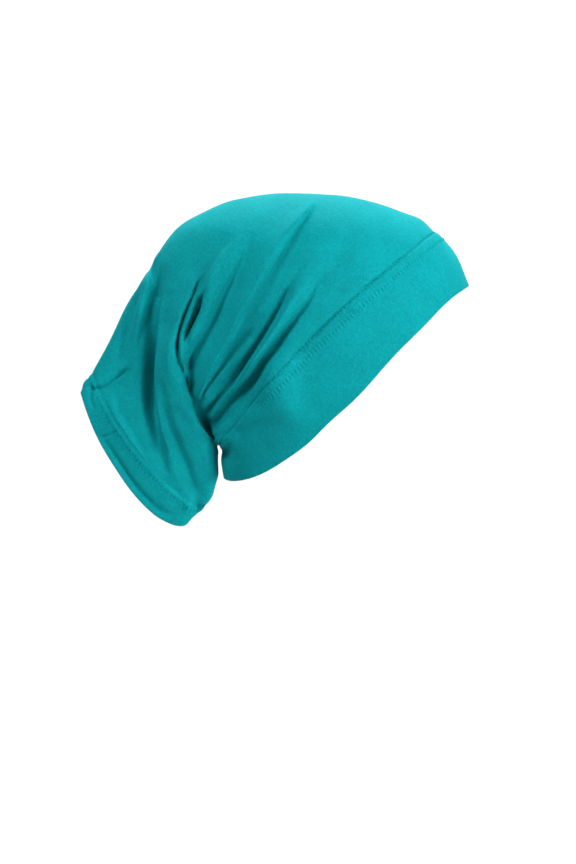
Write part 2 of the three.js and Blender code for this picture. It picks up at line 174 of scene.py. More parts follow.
# %% Fold lines
# name, lift, width on the face side, width on the tail side, crispness, lean, [(x, z, strength), ...]
FOLDS = [
    ("crown_roll", 3.9, 23.02, 26.76, 0, 0,
     [(-16.1, -4.2, 0), (-32.5, -31.8, 0.6), (-42.9, -64.2, -1), (-55.9, -91.8, -0.61), (-63, -109.2, 0)]),
    ("tail_back_ridge", 7.5, 2.09, 8.52, 0, 0,
     [(-76.3, -32.2, 0), (-86.3, -41.3, 0.084), (-96.4, -53.2, 0.75), (-94.4, -67.8, 0.95),
      (-98.1, -85.1, 0.89), (-103.2, -101.9, 0.45), (-105.7, -119.7, 0)]),
    ("tail_valley", -15, 3.47, 5.04, -0.3, 0,
     [(-87.5, -49, 0), (-89.5, -59, 0.1), (-91.3, -71.4, 0.42), (-91.9, -88.3, 0.64),
      (-91.5, -109.6, 0.88), (-92.1, -130.6, 1), (-91.7, -148.3, 0.95), (-89, -166, 0.6),
      (-86.8, -182.2, 0.37), (-81.6, -198.5, 0.03), (-70.7, -212.1, 0)]),
    ("panel_edge", 9.56, 14, 1.2, 0, -1.6,
     [(-85.4, -49, 0), (-88, -58.8, -0.2), (-90.6, -70.7, -0.33), (-88.1, -88.2, 0.21),
      (-86.8, -109.2, 0.65), (-88.1, -130.3, 0.93), (-86.9, -147.9, 1), (-84.4, -165.5, 0.76),
      (-79.9, -181.1, 0.07), (-74, -196.3, -0.05), (-69.3, -207.2, 0)]),
    ("tail_edge", 9, 1.2, 5.49, 0.2, 1.6,
     [(-51.1, -54.6, 0), (-59.8, -60.5, 0.11), (-65.3, -72.6, 0.59), (-70.9, -83.9, 0.73),
      (-74.4, -96.6, 1), (-75.7, -107.8, 0.85), (-73.8, -119, 0.76), (-69.9, -132.8, 0.68),
      (-65.2, -147.1, 0.63), (-59.6, -159.4, 0.07), (-52.5, -169, 0.01), (-49, -176.4, 0)]),
    ("pocket_crease", -11, 2.64, 3.35, 0.2, 0,
     [(-53.9, -61.6, 0), (-64.3, -72.3, 0.24), (-69.9, -84, 0.25), (-74.1, -96.9, 0.48),
      (-74.3, -108.5, 0.63), (-73.6, -119.4, 0.44), (-69.2, -133.4, 0.42), (-64.1, -147, 0.85),
      (-56.8, -157.7, 1), (-51.3, -166.5, 0.52), (-48.3, -172.2, 0)]),
    ("pocket_rib", 6, 1.69, 2.14, 0.1, 0,
     [(-54.6, -63.8, 0), (-62.4, -76.1, 0.45), (-66.6, -89.6, 0.62), (-70.6, -102.1, 0.75),
      (-69.9, -116.3, 0.96), (-66.1, -128.6, 1), (-65.8, -138.6, 0)]),
    ("pocket_slit", -8, 1.95, 1.2, 0.2, 0,
     [(-53.9, -67.9, 0), (-56.8, -74.1, 0.56), (-60.1, -82.9, 1), (-64.4, -92.1, 0.84),
      (-67, -100.1, 0.48), (-66.1, -109.2, 0.02), (-67, -120.6, 0.7), (-65, -133.3, 0.49),
      (-62.4, -144.7, 0.44), (-57.4, -152.6, 0)]),
    ("back_ridge_one", 8.3, 10.73, 2.81, 0.1, 0,
     [(-21.7, -18.2, 0), (-29.4, -33.1, -0.04), (-42.1, -45.9, 0.53), (-50.5, -60.5, 1),
      (-54.2, -74, 0.85), (-58.4, -88, 0.66), (-63.5, -100.8, 0.68), (-66.9, -112.7, 0.46),
      (-65.1, -123.2, 0)]),
    ("back_valley_two", -8.5, 8, 1.25, 0.2, 0,
     [(-23.1, -29.4, 0), (-28.4, -46.3, 0.37), (-35.8, -60.6, 0.41), (-42.4, -72.4, 0.64),
      (-49, -86.4, 0.83), (-55.7, -99.1, 0.69), (-63.1, -109.6, 0.91), (-66.7, -122.6, 0.65),
      (-67.5, -137.9, 1), (-60.2, -147.8, 0)]),
    ("long_ridge_two", 9.5, 3.43, 6, 0.45, 1,
     [(28.7, -7, 0), (17.8, -11.1, 0.2), (10.5, -20.4, 0.45), (2.9, -31.5, 0.58), (-5.3, -46.5, 0.62),
      (-12.6, -60.7, 0.68), (-20.3, -75, 0.74), (-28.3, -89.1, 0.61), (-36.3, -103.2, 0.69),
      (-46.1, -116.2, 0.64), (-54.7, -129.5, 1), (-61.2, -142.2, 0.68), (-63.7, -147.8, 0)]),
    ("long_valley_three", -10, 18, 4.06, 0.3, 0,
     [(29.4, -9.8, 0), (20.2, -13.8, 0.05), (12.9, -22.8, 0.126), (5, -33.8, 0.53), (-4.6, -49.5, 0.87),
      (-12.6, -64.1, 1), (-27.6, -89.2, 0.69), (-35.6, -102.7, 0.37), (-43.5, -115.3, 0.23),
      (-51.2, -128, 0.07), (-57.8, -141.4, 0.01), (-60.2, -149.8, 0)]),
    ("side_ridge_three", 8.44, 6.72, 2.96, 0.1, 0,
     [(-16.1, -85.4, 0), (-25.6, -102.4, -0.43), (-34.7, -116, 0.14), (-46.1, -129.3, 0.66),
      (-54.9, -141, 1), (-57.4, -149.8, 0)]),
    ("side_valley_four", -8.74, 1.76, 2.35, 0.2, 0,
     [(14.7, -47.6, 0), (7.5, -59.3, 0.12), (0.3, -73.9, 0.49), (-7.6, -90, 0.68), (-16.3, -104.1, 0.75),
      (-24.6, -116.5, 0.77), (-35.9, -134, 1), (-44.8, -143.2, 0.89), (-52.8, -151, 0.32),
      (-54.6, -159.6, 0)]),
    ("side_ridge_four", 10.76, 3.91, 2.05, 0.3, 0.6,
     [(23.1, -54.6, 0), (8, -72.1, 0.15), (-1.8, -88.8, 0.52), (-11.6, -104.2, 0.84),
      (-21.7, -118.6, 0.91), (-34.3, -132.2, 0.6), (-46.1, -144.8, 1), (-52.7, -151.7, 0.77),
      (-54.6, -158.2, 0)]),
    ("ear_valley", -10, 7.29, 1.56, 0.25, 0,
     [(28.7, -57.4, 0), (17.4, -76.2, 0.53), (6.9, -89, 0.62), (-4.5, -102, 0.8), (-11.1, -110.2, 0.85),
      (-16.9, -118.3, 1), (-21.9, -126.9, 0.83), (-30, -135.6, 0.53), (-40, -143.3, 0.31),
      (-49.3, -150.2, 0.05), (-52.5, -161, 0)]),
    ("ear_ridge", 1.61, 4.64, 4.28, 0, 0,
     [(52.5, -53.2, 0), (34.7, -72.8, -0.82), (18.8, -90.9, -0.46), (2.2, -103, 1), (-6.3, -114.8, 0)]),
    ("seam_valley", -4.2, 4, 2.6, 0.1, 0,
     [(72.1, -49, 0), (59.1, -66.8, 0.21), (43.4, -81.3, 0.225), (35.2, -89.2, 0.79), (23.7, -100.8, 1),
      (12.5, -113.3, 0.89), (4.9, -120.4, 0)]),
    ("ear_turn", 7.28, 13.85, 16.65, 0, 0,
     [(-20.3, -110.6, 0), (-11.8, -121.1, 1), (-6.8, -135.4, 0.98), (-1.6, -151.2, 0.82),
      (6.5, -163, 0.37), (17.5, -173.6, 0)]),
    ("nape_ridge_one", 7.83, 4.48, 9.84, 0.1, 0,
     [(-6.3, -142.8, 0), (-23.9, -148.9, -0.45), (-36.1, -160.1, -0.06), (-47.9, -167.1, 1),
      (-53.2, -170.8, 0)]),
    ("nape_ridge_two", 6.72, 5.75, 4.31, 0.1, 0,
     [(0.7, -156.8, 0), (-16, -162.5, -0.22), (-31.4, -168.7, -0.17), (-44.2, -172.6, 1),
      (-50.4, -175, 0)]),
    ("tail_second_valley", -4.37, 3.73, 3.72, 0.1, 0,
     [(-86.8, -138.6, 0), (-81.9, -152.2, 0.38), (-77.6, -166.3, 0.92), (-73.1, -179.4, 0.85),
      (-68.4, -192, 1), (-64.9, -204, 0.67), (-60.9, -215.6, 0)]),
    ("tail_second_ridge", 1.58, 3.57, 3.2, 0, 0,
     [(-85.4, -154.8, 0), (-80.6, -170.6, -0.78), (-74, -186.7, -1), (-71, -203, -0.01),
      (-67.9, -214.2, 0)]),
    ("hem_ridge", 3.99, 1.65, 8.03, 0.2, 0,
     [(-121.1, -138.6, 0), (-119.5, -150.9, 0.79), (-111, -166.8, 1), (-101.1, -181.5, 0.52),
      (-90.6, -196.4, 0.08), (-79.7, -207.8, 0.25), (-72.8, -214.2, 0)]),
    ("tail_smear", -4.5, 1.71, 4.05, 0, 0,
     [(-98, -64.5, 0), (-102.5, -79.2, 1), (-108.6, -95.7, 0.88), (-114, -109.5, 0.51),
      (-118.3, -120.4, 0)]),
    ("corner_crease", -3.51, 1.63, 2.28, 0.2, 0,
     [(-139.3, -133, 0), (-135.3, -136.5, 0.4), (-129.5, -137.2, 0.69), (-121.5, -133.2, 0.75),
      (-113.6, -126.2, 1), (-105.7, -121.8, 0)]),
    ("panel_rib", 5.89, 6.39, 4.53, 0, 0,
     [(-80.5, -68.6, 0), (-82.8, -91.8, -1), (-80.3, -119.6, 0.15), (-75.3, -147.1, 0.73),
      (-72.8, -172.2, 0)]),
    ("edge_fold", -3.49, 1.91, 2.91, 0.1, 0,
     [(-132.3, -165.2, 0), (-125.2, -174.8, 0.36), (-117.3, -186.9, 0.65), (-108.1, -200.6, 1),
      (-97.6, -212.5, 0.72), (-86.6, -222, 0.47), (-76.3, -226.8, 0)]),
    ("corner_upright", -2.06, 1.2, 1.63, 0.1, 0,
     [(-135.1, -131.7, 0), (-134.6, -138.1, 1), (-135.2, -145.4, 0.61), (-131.6, -152.6, 0)]),
    ("corner_wrinkle", -0.3, 1.33, 1.47, 0.1, 0,
     [(-119.7, -137.2, 0), (-114.8, -133, 1), (-109.3, -130, -0.88), (-104.3, -126.7, 0)]),
    ("corner_wrinkle_low", -0.3, 1.31, 1.32, 0.1, 0,
     [(-122.5, -142.1, 0), (-116.8, -139.5, -0.13), (-110.6, -135.8, 0)]),
    ("hem_joint", -1.4, 1.2, 1.33, 0.1, 0,
     [(-129.5, -171.2, 0), (-125.2, -170.3, 1), (-120.5, -168.3, 0.45), (-115.5, -165.2, 0)]),
    ("back_streak", 0.91, 4.03, 3.1, 0, 0,
     [(-6.3, -23.8, 0), (-16.4, -39.1, -0.11), (-23.9, -55, 0.45), (-30.7, -69.1, 1), (-37.8, -82.6, 0)]),
    ("nape_hollow", -3.2, 4.6, 4.6, 0, 0,
     [(-43.4, -172.2, 0), (-41.3, -178.5, 0.8), (-39.5, -184.8, 0.8), (-40.6, -191.8, 0)]),
    ("side_front_roll", 4.41, 8.31, 10.5, 0, 0,
     [(45.5, -36.4, 0), (34.9, -52.2, -1), (22.3, -65.1, -0.89), (13.3, -77, 0)]),
    ("tail_low_fold", -4.03, 4.16, 3.67, 0, 0,
     [(-73.5, -214.2, 0), (-68, -217.8, -0.46), (-61.6, -218.5, 1), (-55.3, -215.6, 0)]),
    ("tail_front_fold", -1.99, 3.84, 2.83, 0, 0,
     [(-62.3, -166.6, 0), (-54.8, -175.6, 0.36), (-53.1, -187.6, -0.82), (-53.3, -200.2, -1),
      (-56.7, -211.4, 0)]),
    ("crest_two", 2.6, 1.47, 2.26, 0.1, 0,
     [(21, -7, 0), (13.3, -17.5, 0.79), (4.3, -30.2, 0.31), (-4.9, -42.8, -0.19), (-13.7, -56.3, 0.28),
      (-22.5, -71.4, 0.17), (-31.4, -86.9, 0.39), (-39.8, -103.7, 0.97), (-49.4, -120.6, 0.75),
      (-58.6, -135.6, 1), (-62.3, -145.6, 0)]),
    ("crest_back", 1.84, 1.83, 2.16, 0.1, 0,
     [(-18.9, -23.8, 0), (-29.3, -36.5, 0.3), (-38.9, -51.6, 1), (-46.6, -68.8, 0.78),
      (-55.2, -86.9, 0.14), (-61, -102.2, -0.2), (-63.7, -113.4, 0)]),
    ("crest_four", 1.63, 1.57, 2.12, 0.1, 0,
     [(14.7, -65.8, 0), (3.4, -78.4, 0.29), (-7.3, -92.2, 1), (-16.9, -106.4, 0.76), (-27.2, -120.5, 0.31),
      (-38.4, -132.4, -0.39), (-48.4, -144.2, -0.33), (-53.9, -155.4, 0)]),
    ("crest_two_crease", -2.4, 5.5, 1.6, 0.2, 0,
     [(25.2, -6.3, 0), (19.2, -13.7, 0.8), (12.9, -22.8, 1), (5.6, -33.6, 0.9), (-1, -44.1, 0.6),
      (-8.4, -54.6, 0.3), (-16.1, -65.8, 0)]),
]
print(len(FOLDS), "fold lines")

# %% [markdown]
# ## How a fold moves the cloth
# A real fold swells to full height along its middle and fades out at both ends. Its cross section is a
# bell, or something more pointed where the cloth is creased. Sculpting could do the same by hand, but a
# rule gives the same cloth at any fineness of the mesh.

# %% Fold shapes
LINE_STEPS = 28
FOLD_REACH = 3


def smooth_step(share):
    t = np.clip(share, 0, 1)
    return t * t * (3 - 2 * t)


def rounded_line(points):
    """A fold's points as an even, rounded line, with its strength along it."""
    p = np.array(points, float)
    run = np.concatenate([[0], np.cumsum(np.hypot(*np.diff(p[:, :2], axis=0).T))])
    fine = np.linspace(0, run[-1], LINE_STEPS + 1)
    i = np.clip(np.searchsorted(run, fine, side="right") - 1, 0, len(run) - 2)
    span = (run[i + 1] - run[i])[:, None]
    t = (fine - run[i])[:, None] / span
    slopes = np.gradient(p, run, axis=0)
    line = cubic(t, span, p[i], p[i + 1], slopes[i], slopes[i + 1])
    line[:, 2] = np.interp(fine, run, p[:, 2])
    return line


def nearest_on_line(line, px, pz):
    """For each place: its distance from a line, which side of it, the strength and the normal there."""
    best = np.full(px.shape, np.inf)
    side, strength, normal_x, normal_z = (np.zeros_like(px) for _ in range(4))
    for a, b in zip(line[:-1], line[1:]):
        step = b[:2] - a[:2]
        rx, rz = px - a[0], pz - a[1]
        t = np.clip((rx * step[0] + rz * step[1]) / (step @ step), 0, 1)
        away = np.hypot(rx - t * step[0], rz - t * step[1])
        closer = away < best
        best = np.where(closer, away, best)
        side = np.where(closer, step[0] * rz - step[1] * rx, side)
        strength = np.where(closer, a[2] + t * (b[2] - a[2]), strength)
        normal_x = np.where(closer, -step[1] / np.hypot(*step), normal_x)
        normal_z = np.where(closer, step[0] / np.hypot(*step), normal_z)
    return best, side, strength, normal_x, normal_z


def fold_effect(x, z):
    """How far the folds lift the cloth at places of the side view, and push it along x and z."""
    lift, push_x, push_z = np.zeros_like(x), np.zeros_like(x), np.zeros_like(x)
    for _, height, face_width, tail_width, crisp, lean, points in FOLDS:
        line = rounded_line(points)
        reach = FOLD_REACH * max(face_width, tail_width)
        near = (x > line[:, 0].min() - reach) & (x < line[:, 0].max() + reach)
        near &= (z > line[:, 1].min() - reach) & (z < line[:, 1].max() + reach)
        away, side, strength, normal_x, normal_z = nearest_on_line(line, x[near], z[near])
        width = np.where(side > 0, face_width, tail_width)
        shape = strength * np.exp(-((away / width) ** (2 - crisp)))
        lift[near] += height * shape
        push_x[near] += lean * shape * normal_x
        push_z[near] += lean * shape * normal_z
    return lift, push_x, push_z


tallest = max(FOLDS, key=lambda fold: abs(fold[1]))
print("deepest fold:", tallest[0], abs(tallest[1]), "mm")

# %% [markdown]
# ## Small moves of the outline
# A worn cap is never quite as even as its pattern. A few soft nudges settle the outline of the crown,
# the face edge, the tail and the slit at the nape. Each fades out round its own place.

# %% Nudges
# name, x, z, reach, and how far the cloth round that place moves along x and z
NUDGES = [
    ("crown_rear", -73.5, -24.5, 16.8, -1.5, 1.5),
    ("tail_back_high", -103, -55, 11, 2.4, -1.4),
    ("tail_back", -108.5, -74.2, 21, -1.0, 0.5),
    ("seam_top", 93.8, -20.3, 10.5, 1.5, 2),
    ("face_edge_high", 93.1, -93.8, 22.4, 1.2, -1.2),
    ("face_edge_low", 31.5, -163.1, 21, -1.7, 1.8),
    ("nape_edge", 3.5, -185.5, 18.2, -0.4, 1.3),
    ("tail_front", -54.6, -211.4, 11.9, 2.2, -1.4),
    ("tail_tip", -70.7, -231, 5.6, 0.8, -0.6),
    ("mouth_low", -79.8, -228.9, 7.7, 0.2, 1),
    ("mouth_middle", -118.3, -193.2, 21, 0.8, 0.6),
    ("tail_corner", -140, -133, 3.5, -1.1, 0.7),
    ("slit_nape", -43.8, -179.9, 4.2, 1.3, 0),
    ("slit_tail", -48.3, -179.2, 3.5, 0.6, 0),
]


def nudged(p):
    """The same places after the small moves that settle the outline."""
    moved = p.copy()
    for _, x, z, reach, move_x, move_z in NUDGES:
        near = np.exp(-((p[..., 0] - x) ** 2 + (p[..., 2] - z) ** 2) / reach**2)
        moved[..., 0] += move_x * near
        moved[..., 2] += move_z * near
    return moved


print(len(NUDGES), "nudges")

# %% [markdown]
# ## From form to cloth
# A place on the folded cloth is its place on the form, moved by the folds. Folds run out towards the
# outlines and at the point where the nape is tied. The far side repeats the near one, lower and with
# other small bends, because two sides never gather alike. The inner face takes the lowest of the folds
# round a place, so that the wall keeps its thickness in the valleys. At the gather some walls still
# cross one another a little, out of sight, which simulated cloth would not do.

# %% Folded places
PINCH = np.array([-49.0, -171.0])
PINCH_CALM = 5.0
TOP_CALM = 0.08
LOW_CALM = 0.03
INNER_CALM = 1.0
INNER_TURNS = 8
FAR_CALM = 0.75
OUTLINE_SHARE = 0.006
SIDE_STEP = 0.005
LIFT_TURN = np.array([0.45, 1, 0.45])
LIFT_SIDEWAYS = np.array([0, -0.35, 0])
HALF_GAP = 0.8


def unit(v):
    return v / np.maximum(np.linalg.norm(v, axis=-1, keepdims=True), 1e-9)


def form_outwards(along, down):
    """The direction out of the unfolded cloth."""
    at = np.clip(along, 1, TUBE_LENGTH - 1)
    d = np.clip(down, OUTLINE_SHARE, 1 - OUTLINE_SHARE)
    along_tube = form(at + 1, d) - form(at - 1, d)
    round_loop = form(at, d + SIDE_STEP) - form(at, d - SIDE_STEP)
    out = np.cross(along_tube, round_loop)
    ends = (down < OUTLINE_SHARE) | (down > 1 - OUTLINE_SHARE)
    out[..., 1] = np.where(ends, 0, out[..., 1])
    return unit(out)


def far_bends(x, z):
    """Small shifts that make the far side's folds differ from the near side's."""
    shift_x = 3.5 * np.sin(z / 23 + 0.6) + 2.2 * np.sin(x / 17 - z / 31)
    shift_z = 3.0 * np.sin(x / 26 + 1.1)
    return x + shift_x, z + shift_z


def lowest_round(x, z, lift):
    """The lowest lift at a place and in a small ring round it."""
    for turn in np.arange(INNER_TURNS) * 2 * math.pi / INNER_TURNS:
        ring_x, ring_z = x + INNER_CALM * math.cos(turn), z + INNER_CALM * math.sin(turn)
        lift = np.minimum(lift, fold_effect(ring_x, ring_z)[0])
    return lift


def folded(along, down, far, inner=False):
    """Places on the folded cloth. far is true on the wearer's left side."""
    p = form(along, down)
    out = form_outwards(along, down)
    x, z = p[..., 0], p[..., 2]
    bent_x, bent_z = far_bends(x, z) if far else (x, z)
    lift, push_x, push_z = fold_effect(bent_x, bent_z)
    if inner:
        lift = lowest_round(bent_x, bent_z, lift)
        push_x, push_z = np.zeros_like(x), np.zeros_like(x)
    calm = smooth_step(down / TOP_CALM) * smooth_step((1 - down) / LOW_CALM)
    calm = calm * smooth_step(np.hypot(x - PINCH[0], z - PINCH[1]) / PINCH_CALM)
    if far:
        calm = calm * FAR_CALM
    sideways = unit(out * LIFT_TURN + LIFT_SIDEWAYS * calm[..., None])
    p = p + sideways * (lift * calm)[..., None]
    p[..., 0] += push_x * calm
    p[..., 2] += push_z * calm
    p[..., 1] = np.where((down > 0) & (down < 1), np.minimum(p[..., 1], -HALF_GAP), 0)
    return nudged(p)


print("the gather is tied at x, z", PINCH, "mm")

# %% [markdown]
# ## Whole loops
# A loop goes down the wearer's right side and up the left one. Its points are spaced evenly along the
# cloth, so that the mesh is as fine at the pointed ends as in the middle.

# %% Loops of places
TRACE_POINTS = 241


def cloth_grid(alongs, columns_per_side, inner=False):
    """Places, outward directions and girths of the loops at the given lengths."""
    fine = np.linspace(0, 1, TRACE_POINTS)
    trace = form(alongs[:, None], fine[None, :])
    strides = np.linalg.norm(np.diff(trace, axis=1), axis=2)
    run = np.concatenate([np.zeros((len(alongs), 1)), np.cumsum(strides, axis=1)], axis=1)
    even = np.linspace(0, 1, columns_per_side + 1)
    downs = np.stack([np.interp(even * r[-1], r, fine) for r in run])
    downs[:, 0], downs[:, -1] = 0, 1
    along = np.repeat(alongs[:, None], columns_per_side + 1, axis=1)
    near = folded(along, downs, False, inner)
    far = folded(along, downs, True, inner)[:, 1:-1][:, ::-1] * [1, -1, 1]
    places = np.concatenate([near, far], axis=1)
    round_loop = np.roll(places, -1, axis=1) - np.roll(places, 1, axis=1)
    along_tube = np.gradient(places, axis=0)
    return places, unit(np.cross(along_tube, round_loop)), run[:, -1] * 2


def thin_grid(along, columns_per_side):
    """The same round one loop, with a neighbour on each side to measure the slope by."""
    return cloth_grid(np.array([along - 0.5, along, along + 0.5]), columns_per_side)


print("the face edge is", round(thin_grid(1, 60)[2][1]), "mm round")

# %% [markdown]
# ## One wall of cloth
# Every piece of the cap is a closed band of cloth: a flat section, swept once round the head. The
# section's outer side lies on the outer face and its inner side on the inner face. A solidify modifier
# could give the thickness, but it would turn sharp folds inside out.

# %% Places of a wall
NEARLY = 0.01


def wall_places(section, columns_per_side, relief):
    """The places of a closed section all the way round, and the girths of its inner loops."""
    count = columns_per_side * 2
    share = np.arange(count)[None, :] / count
    co = np.empty((len(section), count, 3))
    on_inner_side = section[:, 1] <= -CLOTH + NEARLY
    for inner in (False, True):
        rows = on_inner_side if inner else ~on_inner_side
        alongs, which = np.unique(section[rows, 0], return_inverse=True)
        places, outwards, girths = cloth_grid(alongs, columns_per_side, inner)
        lift = section[rows, 1][:, None] + 0 * share
        if relief and not inner:
            lift = lift + relief(section[rows, 0][:, None], share)
        co[rows] = places[which] + outwards[which] * lift[..., None]
    return np.concatenate([co, co[:, :1]], axis=1), girths


# %% [markdown]
# ## A mesh for a wall
# Each wall starts as a grid primitive with as many squares as the cloth needs, the section along one side
# and the sweep along the other. Its vertices are moved to the cloth, so that the grid rolls up both ways
# and its edges meet. They are then merged. The UV map is set before that and holds real lengths, u round
# the loop and v along the tube, in metres, so that knit and stitches keep their size. Only soft bends are
# shaded smooth. The cut ends stay crisp, or a seam would show as a pale line.

# %% A wall from a grid
MAP_WIDTH = 0.5
MERGE_DISTANCE = 1e-7
SMOOTH_ANGLE = math.radians(65)


def cloth_wall(name, section, columns_per_side, relief=None):
    """A closed wall. section is a list of (length along the tube, lift from the cloth), once round.
    relief gives a further lift of the outer face for a length and a share of the way round."""
    section = np.array(section + section[:1], float)
    co, girths = wall_places(section, columns_per_side, relief)
    across, around = co.shape[0] - 1, co.shape[1] - 1
    bpy.ops.object.select_all(action="DESELECT")
    bpy.ops.mesh.primitive_grid_add(x_subdivisions=around, y_subdivisions=across, size=1)
    wall = bpy.context.object
    wall.name = name
    mesh = wall.data
    mesh.name = name
    mesh.vertices.foreach_set("co", (co / 1000).ravel())
    corner = np.empty(len(mesh.loops), dtype=int)
    mesh.loops.foreach_get("vertex_index", corner)
    row, column = corner // (around + 1), corner % (around + 1)
    uv = np.stack([column / around * MAP_WIDTH, section[row, 0] / 1000], axis=1)
    mesh.uv_layers[0].name = "cloth"
    mesh.uv_layers[0].data.foreach_set("uv", uv.ravel())
    bpy.ops.object.mode_set(mode="EDIT")
    bpy.ops.mesh.select_all(action="SELECT")
    bpy.ops.mesh.remove_doubles(threshold=MERGE_DISTANCE)
    bpy.ops.mesh.normals_make_consistent(inside=False)
    bpy.ops.object.mode_set(mode="OBJECT")
    bpy.ops.object.shade_smooth_by_angle(angle=SMOOTH_ANGLE)
    print(name, len(mesh.polygons), "faces, loops of", round(girths.min()), "to", round(girths.max()), "mm")
    return wall


# %% [markdown]
# ## The main tube
# One layer of jersey goes over the crown and the back of the head and on into the tail. Its loops lie
# closest together where the folds and the seams are. Both ends dip a little, where the seams pull the
# cloth in.

# %% Crown and tail
SEAM_DIP = 0.2
SEAM_REACH = 1.2
SEAM_SLACK = 0.02
CROWN_COLUMNS = 186
hem_start = TUBE_LENGTH - HEM_WIDTH
crown_start = BAND_WIDTH + SEAM_SLACK
crown_end = hem_start - SEAM_SLACK


def graded(stops):
    """Lengths from (length, spacing) pairs, the spacing changing evenly between them."""
    out = [stops[0][0]]
    for (a, step_a), (b, step_b) in zip(stops, stops[1:]):
        count = max(1, round((b - a) / ((step_a + step_b) / 2)))
        share = np.linspace(0, 1, count + 1)[1:]
        bend = (step_b - step_a) / (step_a + step_b)
        out += list(a + (b - a) * (share + bend * (share**2 - share)))
    return out


def seam_dip(along, seam):
    """How deep a seam pulls the cloth in at this length."""
    return SEAM_DIP * math.exp(-(((along - seam) / SEAM_REACH) ** 2))


outer_lengths = graded([
    (crown_start, 0.5), (BAND_WIDTH + 4, 1.2), (BAND_WIDTH + 14, 2.4), (110, 1.6),
    (300, 1.5), (hem_start - 4, 1.4), (crown_end, 0.5),
])
inner_lengths = graded([(crown_start, 2), (BAND_WIDTH + 14, 5), (hem_start - 4, 4.5), (crown_end, 2)])
outer_side = [(a, -seam_dip(a, BAND_WIDTH) - seam_dip(a, hem_start)) for a in outer_lengths]
inner_side = [(a, -CLOTH) for a in inner_lengths[::-1]]
crown_tube = cloth_wall("crown_cloth", outer_side + inner_side, CROWN_COLUMNS)
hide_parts("crown_tube")
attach(crown_tube, "root")

# %% [markdown]
# ## Sewing marks
# A row of stitches draws the cloth down at each needle hole, and the cloth swells unevenly between them.
# Bump in a material could show this, but real relief also catches the light at the outline.

# %% Holes and puckers
STITCH_PITCH = 2.8


def stitch_count(along):
    """How many stitches go once round the loop at this length."""
    return round(float(thin_grid(along, 60)[2][1]) / STITCH_PITCH)


def near_row(a, row, width=0.9):
    return np.exp(-(((a - row) / width) ** 2))


def holes(share, count):
    """1 at each needle hole of a row, 0 halfway between two."""
    return 0.5 + 0.5 * np.cos(2 * np.pi * count * share)


def puckers(a, share, count):
    """Uneven little swellings of cloth that is sewn down."""
    turn = 2 * np.pi * count * share
    return np.sin(0.37 * turn + 0.9 * a) * np.sin(0.61 * turn - 1.7 * a)


def towards_nape(share):
    """0 where a row is drawn tight, 1 near the nape, where the gathers hide it."""
    down = 1 - np.abs(2 * share - 1)
    return smooth_step((down - 0.66) / 0.16)


print("one stitch every", STITCH_PITCH, "mm")

# %% [markdown]
# ## The face band
# The tube's front end is folded in by the width of the band and sewn down, so the band has two layers
# and a soft, rounded edge at the face. Two rows of stitches hold it, and each draws a shallow channel.

# %% Band
ROW_GAUGE = 7.4
ROW_INSET = 1.2
BAND_LIFT = BAND_WALL - CLOTH
BAND_SLOPE = 3.5
BAND_ROWS = (BAND_WIDTH - ROW_INSET, BAND_WIDTH - ROW_INSET - ROW_GAUGE)
BAND_COLUMNS = 400
band_count = stitch_count(BAND_ROWS[0])
band_end = BAND_WIDTH - SEAM_SLACK


def rounded_edge(at, towards, outer, inner, steps=6):
    """A half-round end of a section, from its outer side to its inner one."""
    middle, radius = (outer + inner) / 2, (outer - inner) / 2
    turns = np.linspace(0, math.pi, steps + 2)[1:-1]
    return [(at + towards * radius * (1 - math.sin(t)), middle + radius * math.cos(t)) for t in turns]


def band_relief(a, share):
    first = -0.9 * near_row(a, BAND_ROWS[0], 1.0) * (0.1 + holes(share, band_count))
    second = near_row(a, BAND_ROWS[1], 1.1) * (0.5 - 1.0 * holes(share, band_count))
    strip = 0.22 * near_row(a, sum(BAND_ROWS) / 2, 3.2)
    drawn = 1 - 0.8 * towards_nape(share)
    return drawn * (first + second) + strip * (1 + 0.6 * puckers(a, share, band_count))


def band_lift(a):
    return BAND_LIFT * float(smooth_step((BAND_WIDTH - a) / BAND_SLOPE))


band_stops = [(band_end, 0.5), (BAND_WIDTH - 11, 0.6), (BAND_WIDTH - 14, 1.6), (3, 1.8), (1.0, 0.6)]
band_outer = [(a, band_lift(a)) for a in graded(band_stops[::-1])]
band_inner = [(a, -CLOTH) for a in graded([(1.0, 1.5), (band_end, 5)])][::-1]
band_edge = rounded_edge(0, 1, BAND_LIFT, -CLOTH)[::-1]
face_band = cloth_wall("band_cloth", band_outer + band_inner + band_edge, BAND_COLUMNS, band_relief)
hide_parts("face_band")
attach(face_band, "root")

# %% [markdown]
# ## The tail hem
# The tube's other end is folded in and sewn in the same way, in a narrow hem round the tail's mouth.

# %% Hem
HEM_LIFT = HEM_WALL - CLOTH
HEM_SLOPE = 3
HEM_ROWS = (hem_start + 1.2, hem_start + 4.4)
HEM_COLUMNS = 280
hem_count = stitch_count(HEM_ROWS[0])
hem_near, hem_far = hem_start + SEAM_SLACK, TUBE_LENGTH - 1


def hem_relief(a, share):
    first = -0.4 * near_row(a, HEM_ROWS[0]) * (0.3 + 0.4 * holes(share, hem_count))
    second = near_row(a, HEM_ROWS[1], 1.0) * (0.3 - 0.9 * holes(share, hem_count))
    return first + second + 0.08 * near_row(a, hem_start + 6, 6) * puckers(a, share, hem_count)


def hem_lift(a):
    return HEM_LIFT * float(smooth_step((a - hem_start) / HEM_SLOPE))


